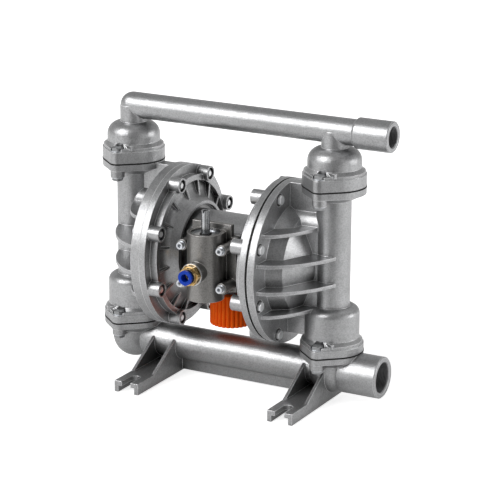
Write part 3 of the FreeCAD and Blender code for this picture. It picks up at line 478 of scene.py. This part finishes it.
def grown(name, pattern, shape=((), ())):
    """The plain mesh that a pattern grows from its shape, handed to the casing."""
    seed = bpy.data.objects.new(name + "_seed", mesh_of(name + "_seed", *shape))
    bpy.context.scene.collection.objects.link(seed)
    modifier = seed.modifiers.new("grow", "NODES")
    modifier.node_group = pattern.tree
    for identifier, value in pattern.sizes.items():
        modifier[identifier] = value
    bpy.context.view_layer.update()
    solid = seed.evaluated_get(bpy.context.evaluated_depsgraph_get())
    mesh = bpy.data.meshes.new_from_object(solid)
    bpy.data.objects.remove(seed)
    mesh.name = name
    piece = bpy.data.objects.new(name, mesh)
    bpy.context.scene.collection.objects.link(piece)
    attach(piece, "casing")
    print(name, "has", len(mesh.polygons), "faces")


# %% [markdown]
# ## Threads in the two ports
# Both ports have a parallel pipe thread with 11 turns to the inch. A bump in the material would
# stay flat at the mouth, where the thread is seen from the side. A thread is one helix with a
# pointed section, so a spiral curve gets a four-cornered profile: half of it sits in the wall and
# the other half is the ridge that is seen.

# %% Port threads
THREAD_PITCH = 25.4 * MM / 11
RIDGE = 1.0 * MM
THREAD_INSET = 1.8 * MM
STEPS_PER_TURN = 48
LYING = (0.0, math.pi / 2, 0.0)
DISCHARGE_BORE = 15.15 * MM
DISCHARGE_LENGTH = 20.5 * MM
DISCHARGE_Z = 402.0 * MM
SUCTION_BORE = 22.4 * MM
SUCTION_LENGTH = 24.5 * MM
SUCTION_Z = 44.0 * MM


def port_thread(name, manifold, bore_radius, length, z):
    """A helix from just inside the mouth of a port, inwards along the pipe."""
    pattern = Pattern(name)
    radius = pattern.size("Bore Radius", bore_radius)
    turns = pattern.size("Turns", length / THREAD_PITCH)
    depth = pattern.size("Length", length)
    ridge = pattern.size("Ridge Height", RIDGE)
    helix = pattern.node("GeometryNodeCurveSpiral", {}, {
        "Resolution": STEPS_PER_TURN, "Rotations": turns, "Start Radius": radius, "End Radius": radius,
        "Height": depth})
    upright = pattern.node("GeometryNodeSetCurveNormal", {"mode": "Z_UP"}, {"Curve": helix})
    profile = pattern.node("GeometryNodeCurvePrimitiveCircle", {"mode": "RADIUS"},
                           {"Resolution": 4, "Radius": ridge})
    thread = pattern.node("GeometryNodeCurveToMesh", {}, {"Curve": upright, "Profile Curve": profile,
                                                         "Fill Caps": True})
    start_x = corners(manifold)[1].x - length - THREAD_INSET
    pattern.close(pattern.flat(pattern.moved(thread, LYING, (start_x, 0.0, z))), THREAD)
    grown(name, pattern)


port_thread("discharge_thread", "discharge_manifold", DISCHARGE_BORE, DISCHARGE_LENGTH, DISCHARGE_Z)
port_thread("suction_thread", "suction_manifold", SUCTION_BORE, SUCTION_LENGTH, SUCTION_Z)

# %% [markdown]
# ## Washers under every bolt
# A bolt that clamps a soft casting gets a flat washer, because the head would otherwise dig in. The
# chamber bolts stand on a circle round the diaphragm, so their washers are instances on the points
# of a circle. The joint bolts stand on the corners of a rectangle, two on each column, so a grid of
# two by two points serves them. The bolts' places come from the boxes of the CAD nodes.

# %% Washers
WASHER_STEPS = 40


def washer_ring(pattern, outer, inner, thick):
    """A flat ring round Z: a rectangle swept round a circle."""
    path = pattern.node("GeometryNodeCurvePrimitiveCircle", {"mode": "RADIUS"},
                        {"Resolution": WASHER_STEPS, "Radius": (outer + inner) * 0.5})
    section = pattern.node("GeometryNodeCurvePrimitiveQuadrilateral", {"mode": "RECTANGLE"},
                           {"Width": outer - inner, "Height": thick})
    ring = pattern.node("GeometryNodeCurveToMesh", {}, {"Curve": path, "Profile Curve": section})
    return pattern.flat(ring)


def washers(name, spots, turn, place, sizes, finish):
    """One washer on each spot. The spots lie round Z, then all are turned and put in place."""
    pattern = Pattern(name)
    outer, inner, thick = sizes
    ring = washer_ring(pattern, pattern.size("Outer Radius", outer), pattern.size("Inner Radius", inner),
                       pattern.size("Thickness", thick))
    kind, settings, first_turn = spots
    points = pattern.moved(pattern.node(kind, {}, settings), first_turn, (0.0, 0.0, 0.0))
    many = pattern.node("GeometryNodeInstanceOnPoints", {}, {"Points": points, "Instance": ring})
    pattern.close(pattern.moved(many, turn, place), finish)
    grown(name, pattern)


# %% Washers round the chambers
SIDES = (("left", -1), ("right", 1))
CHAMBER_Z = middle("left_chamber_bolts").z
CHAMBER_BOLTS = 8
BOLT_CIRCLE = 109.5 * MM
CHAMBER_HEAD = 5.2 * MM
CHAMBER_WASHER = (8.6 * MM, 4.4 * MM, 1.0 * MM)
circle = ("GeometryNodeMeshCircle", {"Vertices": CHAMBER_BOLTS, "Radius": BOLT_CIRCLE},
          (0.0, 0.0, math.pi / CHAMBER_BOLTS))
for side, way in SIDES:
    low, high = corners(side + "_chamber_bolts")
    seat = (low.x if way < 0 else high.x) - way * CHAMBER_HEAD
    centre = (seat + way * CHAMBER_WASHER[2] / 2, 0.0, CHAMBER_Z)
    # These washers are nearly black, a painted shadow round each bolt head.
    washers(side + "_chamber_washers", circle, LYING, centre, CHAMBER_WASHER, SHADOW_RING_ZINC)

# %% Washers of the joints
LEVEL = (0.0, 0.0, 0.0)
NUT_HALF = 9.24 * MM
JOINT_BOLT_Y = 47.0 * MM
JOINT_HEAD = 6.5 * MM
HEAD_WASHER = (9.5 * MM, 5.4 * MM, 1.2 * MM)
NUT_WASHER = (9.5 * MM, 5.4 * MM, 1.0 * MM)
low, high = corners("discharge_joint_nuts")
grid = ("GeometryNodeMeshGrid", {"Size X": (high - low).x - 2 * NUT_HALF, "Size Y": 2 * JOINT_BOLT_Y,
                                 "Vertices X": 2, "Vertices Y": 2}, LEVEL)
for joint in ("discharge", "suction"):
    centre_x = middle(joint + "_joint_bolts").x
    head_z = corners(joint + "_joint_bolts")[1].z - JOINT_HEAD + HEAD_WASHER[2] / 2
    nut_z = corners(joint + "_joint_nuts")[1].z - NUT_WASHER[2] / 2
    washers(joint + "_head_washers", grid, LEVEL, (centre_x, 0.0, head_z), HEAD_WASHER, ZINC)
    washers(joint + "_nut_washers", grid, LEVEL, (centre_x, 0.0, nut_z), NUT_WASHER, ZINC)

# %% [markdown]
# ## Pieces from points and faces
# Some parts are easiest to write as loops of points with faces between them. One function makes the
# object, dresses it and hands it to the body that it moves with. A small one gives the faces.


# %% A piece from a mesh
def build(name, points, faces, material, slot, body="casing"):
    """A mesh object, dressed and handed to a body, unless the body is None."""
    piece = bpy.data.objects.new(name, mesh_of(name, points, faces))
    bpy.context.scene.collection.objects.link(piece)
    dress(piece, material)
    if body:
        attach(piece, body)
    print(name, "has", len(faces), "faces")
    return piece


def skin(n, loops, closed):
    """The faces between loops of n points each, and from the last loop to the first if closed."""
    return [(k * n + j, k * n + (j + 1) % n, (k + 1) % loops * n + (j + 1) % n, (k + 1) % loops * n + j)
            for k in range(loops if closed else loops - 1) for j in range(n)]


# %% [markdown]
# ## Gasket edges and the shade between the flanges
# The dark wavy line round each ball valve joint is partly the gasket's edge, pressed out a little by
# the bolts, and partly shade in the gap between the rounded flanges. A black rubber bead stands for
# both, so part of it is painted shade. The gasket itself is a flat CAD plate, so its outline is
# followed and a small section with a neck in the gap and a bead outside is swept along it. A Curve to
# Mesh node could sweep it, but the bead has to stop at the pump's outermost plane, so its points are
# worked out in Python.

# %% The outline of a plate
SAME_LEVEL = 0.01 * MM
PLACES = 6
# A face whose normal has more than this along Z is part of the plate's top or bottom.
TOP_OR_BOTTOM = 0.5


def outer_outline(node):
    """The outline of a flat CAD plate as points in order, seen from above: where its side walls end."""
    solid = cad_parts[node]
    level = corners(node)[1].z
    place = [solid.matrix_world @ v.co for v in solid.data.vertices]
    near = {}
    for face in solid.data.polygons:
        if abs(face.normal.z) > TOP_OR_BOTTOM:
            continue
        ring = [tuple(round(c, PLACES) for c in place[k]) for k in face.vertices]
        for a, b in zip(ring, ring[1:] + ring[:1]):
            if a != b and max(abs(a[2] - level), abs(b[2] - level)) < SAME_LEVEL:
                near.setdefault(a, set()).add(b)
                near.setdefault(b, set()).add(a)
    here = start = max(near, key=lambda p: p[1])
    walk = [here]
    while True:
        ahead = [p for p in near[here] if p not in walk[-2:]]
        if not ahead or ahead[0] == start:
            break
        here = ahead[0]
        walk.append(here)
    turn = sum(a[0] * b[1] - a[1] * b[0] for a, b in zip(walk, walk[1:] + walk[:1]))
    return walk if turn > 0 else walk[::-1]


# %% Gasket beads
def gasket_edge_and_shade(name, node, section):
    """A closed section of (outwards, up) swept along the outline of a flat CAD plate."""
    walk = outer_outline(node)
    level = middle(node).z
    points = []
    for before, here, after in zip(walk[-1:] + walk[:-1], walk, walk[1:] + walk[:1]):
        first = Vector((here[1] - before[1], before[0] - here[0], 0.0)).normalized()
        second = Vector((after[1] - here[1], here[0] - after[0], 0.0)).normalized()
        out = (first + second).normalized()
        for outwards, up in section:
            point = Vector((here[0], here[1], level + up)) + out * outwards
            point.x = max(point.x, cad_box[0][0])
            points.append(point)
    # The black bead is the gasket's edge and, where it is wider than the gasket, painted shade of the gap.
    build(name, points, skin(len(section), len(walk), True), RUBBER, "black_rubber")


upper_half = [(0.0, 0.4 * MM), (1.25 * MM, 0.4 * MM), (1.35 * MM, 1.1 * MM), (1.65 * MM, 1.0 * MM)]
GASKET_AND_SHADE_BEAD = [(x, -y) for x, y in upper_half] + [(1.8 * MM, 0.0)] + upper_half[::-1]
for side in ("left", "right"):
    for joint in ("discharge", "suction"):
        gasket_edge_and_shade(side + "_" + joint + "_gasket_shade_bead", side + "_" + joint + "_gasket", GASKET_AND_SHADE_BEAD)

# %% [markdown]
# ## Diaphragms in a rim and sectors
# A diaphragm is clamped at its rim by the two chambers and at its middle by the two plates on the
# rod, and only the rolled wave between them bends. One round sheet can't be blended from its rim to
# its middle, because a blend runs along one line. So the rim is one ring with the bolt holes, and
# it stays with the casing. The rest is cut into equal sectors like a cake. Each sector runs along
# its own radius from the rim to the plates, and here it is left without a body.

# %% The diaphragm's section
SECTORS = 12
SECTOR_STEPS = 6
RUBBER_THICK = 3.6 * MM
RIM_INNER = 80.0 * MM
BOLT_HOLE = 4.6 * MM
RIM_STEPS = 96
HOLE_STEPS = 20
# The wave as (radius, how far its inner face stands out from the flat rim), in millimetres.
WAVE = [(6.3, 0.0), (47.0, 0.0), (49.0, 0.0), (50.4, 2.0), (52.0, 5.0), (55.0, 7.2), (60.0, 8.6),
        (64.0, 9.0), (68.0, 8.4), (72.0, 6.8), (75.0, 4.4), (76.5, 1.8), (78.0, 0.0), (80.0, 0.0)]


def inner_face(node, way):
    """Where the rim's face towards the centre of the pump lies along X."""
    low, high = corners(node)
    return low.x if way > 0 else high.x


def rim_circle(radius, y, z, steps):
    """The points of a circle in the plane of the rim."""
    turns = [2 * math.pi * k / steps for k in range(steps)]
    return [Vector((y + radius * math.cos(a), z + radius * math.sin(a), 0.0)) for a in turns]


# %% The diaphragm's rim
def rubber_rim(name, node, outside, way):
    """The flat rim: a ring with a hole for every bolt."""
    spots = [2 * math.pi * (k + 0.5) / CHAMBER_BOLTS for k in range(CHAMBER_BOLTS)]
    loops = [rim_circle(outside, 0, 0, RIM_STEPS), rim_circle(RIM_INNER, 0, 0, RIM_STEPS)]
    loops += [rim_circle(BOLT_HOLE, BOLT_CIRCLE * math.cos(a), BOLT_CIRCLE * math.sin(a), HOLE_STEPS)
              for a in spots]
    flat = [point for loop in loops for point in loop]
    inner = inner_face(node, way)
    points = [Vector((x, point.x, CHAMBER_Z + point.y)) for x in (inner, inner + way * RUBBER_THICK)
              for point in flat]
    count = len(flat)
    faces = []
    for face in tessellate_polygon(loops):
        a, b, c = (flat[k] for k in face)
        up = (b - a).cross(c - a).z > 0
        ordered = face if up == (way > 0) else face[::-1]
        faces.append(tuple(ordered[::-1]))
        faces.append(tuple(count + k for k in ordered))
    start = 0
    for number, loop in enumerate(loops):
        is_hole = number > 0
        for k in range(len(loop)):
            a, b = start + k, start + (k + 1) % len(loop)
            wall = (a, b, count + b, count + a)
            faces.append(wall if (way > 0) != is_hole else wall[::-1])
        start += len(loop)
    piece = build(name, points, faces, RUBBER, "black_rubber")
    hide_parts(node)


# %% The diaphragm's sectors
def rubber_sector(name, node, number, way):
    """One slice of the wave and the clamped middle, closed on all sides."""
    inner = inner_face(node, way)
    wave = [(r * MM, h * MM) for r, h in WAVE]
    section = [(r, inner + way * h) for r, h in wave]
    section += [(r, inner + way * (h + RUBBER_THICK)) for r, h in wave[::-1]]
    points = []
    for k in range(SECTOR_STEPS + 1):
        a = 2 * math.pi * (number + k / SECTOR_STEPS) / SECTORS
        points += [Vector((x, r * math.cos(a), CHAMBER_Z + r * math.sin(a))) for r, x in section]
    n = len(section)
    faces = skin(n, SECTOR_STEPS + 1, False)
    for k in (0, SECTOR_STEPS):
        for j in range(len(WAVE) - 1):
            quad = (k * n + j, k * n + j + 1, k * n + n - 2 - j, k * n + n - 1 - j)
            faces.append(quad if k else quad[::-1])
    if way < 0:
        faces = [face[::-1] for face in faces]
    piece = build(name, points, faces, RUBBER, "black_rubber", body=None)
    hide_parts(node)
    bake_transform(piece)


for side, way in SIDES:
    node = side + "_diaphragm"
    low, high = corners(node)
    rubber_rim(node + "_rim", node, (high.z - low.z) / 2, way)
    for number in range(SECTORS):
        rubber_sector(node + "_sector_" + str(number + 1), node, number, way)

# %% [markdown]
# ## Turned trim
# A few small round parts sit where the eye looks first: the steel ring behind the brass fitting, the
# wiper round the reset stem and the lugs of the retaining rings that keep the valve's caps in. A
# Screw modifier could turn them. Here a closed outline of radius and height is swung round an axis
# in a few lines, and its faces are sure to close.


# %% Swing an outline
def swung(outline, centre, axis, steps=48):
    """The points and faces of a closed (radius, height) outline in millimetres, swung round the axis."""
    axis = Vector(axis)
    side = axis.orthogonal().normalized()
    other = axis.cross(side)
    points = []
    for k in range(steps):
        a = 2 * math.pi * k / steps
        out = side * math.cos(a) + other * math.sin(a)
        points += [centre + out * (r * MM) + axis * (h * MM) for r, h in outline]
    return points, skin(len(outline), steps, True)


def together(shapes):
    """Several shapes as one list of points and faces."""
    points, faces = [], []
    for more_points, more_faces in shapes:
        start = len(points)
        points += more_points
        faces += [tuple(start + k for k in face) for face in more_faces]
    return points, faces


# %% Ring, wiper and lugs
FORWARD = (0.0, 1.0, 0.0)
UPWARD = (0.0, 0.0, 1.0)
FITTING_SEAT_Y = -118.0 * MM
RING = [(14.6, 0.4), (16.3, 0.4), (16.7, 0.0), (16.7, -1.0), (16.3, -1.4), (14.6, -1.4)]
WIPER = [(6.9, 0.0), (9.2, 0.0), (8.6, 1.3), (6.9, 1.6)]
LUG = [(0.9, 0.05), (2.7, 0.05), (2.7, 1.55), (0.9, 1.55)]
LUG_APART = 5.4 * MM
LUG_FORWARD = 16.6 * MM

inlet = middle("inlet_fitting")
ring_centre = Vector((inlet.x, FITTING_SEAT_Y, inlet.z))
build("fitting_ring", *swung(RING, ring_centre, FORWARD), ZINC, "zinc_steel")

cap = middle("valve_top_cap")
cap_face = Vector((cap.x, cap.y, corners("valve_top_cap")[1].z))
build("stem_wiper", *swung(WIPER, cap_face, UPWARD), RUBBER, "black_rubber")

for end in ("top", "bottom"):
    clip = "valve_" + end + "_clip"
    clip_z = corners(clip)[0].z
    spots = [Vector((cap.x + way * LUG_APART, cap.y - LUG_FORWARD, clip_z)) for way in (-1, 1)]
    build(clip + "_lugs", *together([swung(LUG, spot, UPWARD, 24) for spot in spots]), ZINC, "zinc_steel")

# %% [markdown]
# ## Copies round an axis
# The gripping teeth and the silencer's ribs are one small flat piece each, repeated round an axis.
# An array of objects would do for a picture, but the export wants one mesh. So the piece is drawn
# once, a tree puts an instance on each of several points in the middle and turns each one a step
# further, and Realize Instances joins them.


# %% Repeat a shape round an axis
def prism(outline, low, high, place=Matrix()):
    """A straight piece between two levels over a flat outline, in millimetres, turned by a matrix."""
    n = len(outline)
    points = [place @ Vector((x * MM, y * MM, z * MM)) for z in (low, high) for x, y in outline]
    faces = [tuple(range(n - 1, -1, -1)), tuple(range(n, 2 * n))]
    faces += [(k, (k + 1) % n, n + (k + 1) % n, n + k) for k in range(n)]
    return points, faces


def copies_round(name, shape, axis, place, copies, material):
    """Copies of a shape turned evenly round X, Y or Z, then moved to their place."""
    pattern = Pattern(name)
    count = pattern.size("Copies", copies, "NodeSocketInt")
    step = pattern.size("Step", 2 * math.pi / copies)
    angle = pattern.node("GeometryNodeInputIndex") * step
    turn = pattern.node("ShaderNodeCombineXYZ", {}, {axis: angle})
    points = pattern.node("GeometryNodePoints", {}, {"Count": count})
    many = pattern.node("GeometryNodeInstanceOnPoints", {}, {"Points": points, "Instance": pattern.shape,
                                                            "Rotation": turn})
    pattern.close(pattern.moved(many, LEVEL, place), material)
    grown(name, pattern, shape)


# %% [markdown]
# ## The grip inside the fitting
# A push-in fitting holds its tube with a ring of small steel teeth behind the collet. They point
# inwards and away from the mouth, so the tube goes in easily and doesn't come out until the collet
# is pressed against them.

# %% Grip teeth
TEETH = 12
TOOTH = [(-0.6, 5.0), (0.6, 5.0), (1.1, 6.6), (-1.1, 6.6)]
TOOTH_HALF_THICK = 0.15
TOOTH_LEAN = 24
TEETH_Y = -122.0 * MM
upright_tooth = prism(TOOTH, -TOOTH_HALF_THICK, TOOTH_HALF_THICK,
                      Matrix.Rotation(math.radians(90 + TOOTH_LEAN), 4, "X"))
copies_round("grip_teeth", upright_tooth, "Y", (inlet.x, TEETH_Y, inlet.z), TEETH, STEEL)

# %% [markdown]
# ## The grating of the silencer
# The silencer is open at its lower end. Thin ribs run from its core to its wall, so that the air can
# leave but nothing large gets in.

# %% Silencer grating
RIBS = 16
RIB = [(16.5, -0.8), (24.5, -0.8), (24.5, 0.8), (16.5, 0.8)]
RIB_LOW = 6.5
RIB_HIGH = 9.5
silencer = middle("silencer")
silencer_foot = (silencer.x, silencer.y, corners("silencer")[0].z)
copies_round("silencer_grating", prism(RIB, RIB_LOW, RIB_HIGH), "Z", silencer_foot, RIBS, ORANGE)

# %% [markdown]
# ## The studio
# The pump stands on a plain white floor. The photograph's highlights tell where the light came
# from: the tops of both pipes and the fronts of the left ring are bright, and every column has one
# thin bright band near its right edge. So a broad key lamp stands front left and a narrow one far
# to the right. A weak lamp behind lights the backs from above, and a weak broad one fills the right
# side. Suns with a wide disc give the soft light of large studio lamps and reach the far floor as
# evenly as the near. Metal shows what stands round it: floor and sky are darker towards the camera,
# where a real studio is dark, and the camera itself sees white.

# %% Floor
FLOOR_REACH = 20.0
WHITE = grey(1.0)
BLACK = grey(0.0)
UNLIT = grey(0.10)
TOWARDS_CAMERA = tuple(direction(AROUND, 0))
# How nearly towards the camera a way has to lead, as a cosine, before and when it is fully dim.
DIM_FROM = 0.74
DIM_FULL = 0.97
# How brightly the floor shines by itself to the camera, and what share of that metal sees.
FLOOR_LIFT = 0.74
FLOOR_MIRROR = 0.55


def floor_paint():
    """White to the camera. Metal sees it dimmer, under the pump and towards the camera most of all."""
    finish = Finish("floor_paint")
    tone = finish.mix(finish.noise(0.5), grey(0.80), grey(0.82))
    grain = finish.noise(2 * MM)
    seen = finish.ray("Camera") + finish.ray("Transmission")
    mirrored = finish.ray("Glossy")
    facing = finish.vector("DOT_PRODUCT", finish.vector("NORMALIZE", finish.place), TOWARDS_CAMERA, "Value")
    away = finish.vector("LENGTH", finish.vector("MULTIPLY", finish.place, (0.5, 1.0, 1.0)), output="Value")
    dim = facing.between(DIM_FROM, DIM_FULL) * away.between(0.25, 0.75) * mirrored * 0.85
    # Near the pump the floor that metal mirrors is painted darker: a painted shadow of the pump.
    under = 1.0 - away.between(0.04, 0.28)
    lift = (seen + mirrored * (1.0 - dim) * (1.0 - under * 0.6) * FLOOR_MIRROR) * FLOOR_LIFT
    shaded = finish.mix(under * mirrored * 0.4, tone, UNLIT)
    return finish.surface(Base_Color=finish.mix(dim, shaded, UNLIT), Roughness=0.9,
                          Emission_Color=finish.mix(lift, BLACK, WHITE), Emission_Strength=1.0,
                          Normal=finish.bump(grain, 0.02, 0.1 * MM))


square = [(-FLOOR_REACH, -FLOOR_REACH, 0.0), (FLOOR_REACH, -FLOOR_REACH, 0.0),
          (FLOOR_REACH, FLOOR_REACH, 0.0), (-FLOOR_REACH, FLOOR_REACH, 0.0)]
floor = bpy.data.objects.new("floor", mesh_of("floor", square, [(0, 1, 2, 3)]))
bpy.context.scene.collection.objects.link(floor)
dress(floor, floor_paint())
print("floor is", 2 * FLOOR_REACH, "m wide")


# %% Lamps
def sun(name, around, up, disc, strength):
    """A far lamp: degrees round from the front, degrees up, the width of its disc and its strength."""
    data = bpy.data.lights.new(name, "SUN")
    data.angle = math.radians(disc)
    data.energy = strength
    lamp = bpy.data.objects.new(name, data)
    lamp.matrix_world = direction(around, up).to_track_quat("Z", "Y").to_matrix().to_4x4()
    bpy.context.scene.collection.objects.link(lamp)


sun("key_lamp", -32, 35, 42, 1.80)
sun("side_lamp", 114, 10, 24, 0.55)
sun("top_lamp", 150, 62, 50, 0.18)
sun("fill_lamp", 78, 6, 60, 0.22)
print("lamps:", len(bpy.data.lights))

# %% Sky
SKY_LEVEL = 0.52
SKY_DIM = 0.34
OVERHEAD_DIM = 0.18


def sky():
    """White to the camera. The pump sees even light, less from above and least from the camera's side."""
    world = bpy.data.worlds.new("studio")
    bpy.context.scene.world = world
    world.use_nodes = True
    graph = Graph(world.node_tree)
    world.node_tree.nodes.clear()
    way = graph.node("ShaderNodeTexCoord", output="Generated")
    facing = graph.vector("DOT_PRODUCT", way, TOWARDS_CAMERA, "Value")
    height = graph.vector("DOT_PRODUCT", way, UPWARD, "Value")
    level = SKY_LEVEL - facing.between(DIM_FROM - 0.1, DIM_FULL) * SKY_DIM \
        - height.between(0.15, 0.75) * OVERHEAD_DIM
    backdrop = (graph.ray("Camera") + graph.ray("Transmission")).between(0.0, 1.0)
    strength = level * (1.0 - backdrop) + backdrop
    light = graph.node("ShaderNodeBackground", {}, {"Color": WHITE, "Strength": strength})
    graph.node("ShaderNodeOutputWorld", {}, {"Surface": light})


sky()
print("sky level", SKY_LEVEL, "at the sides")
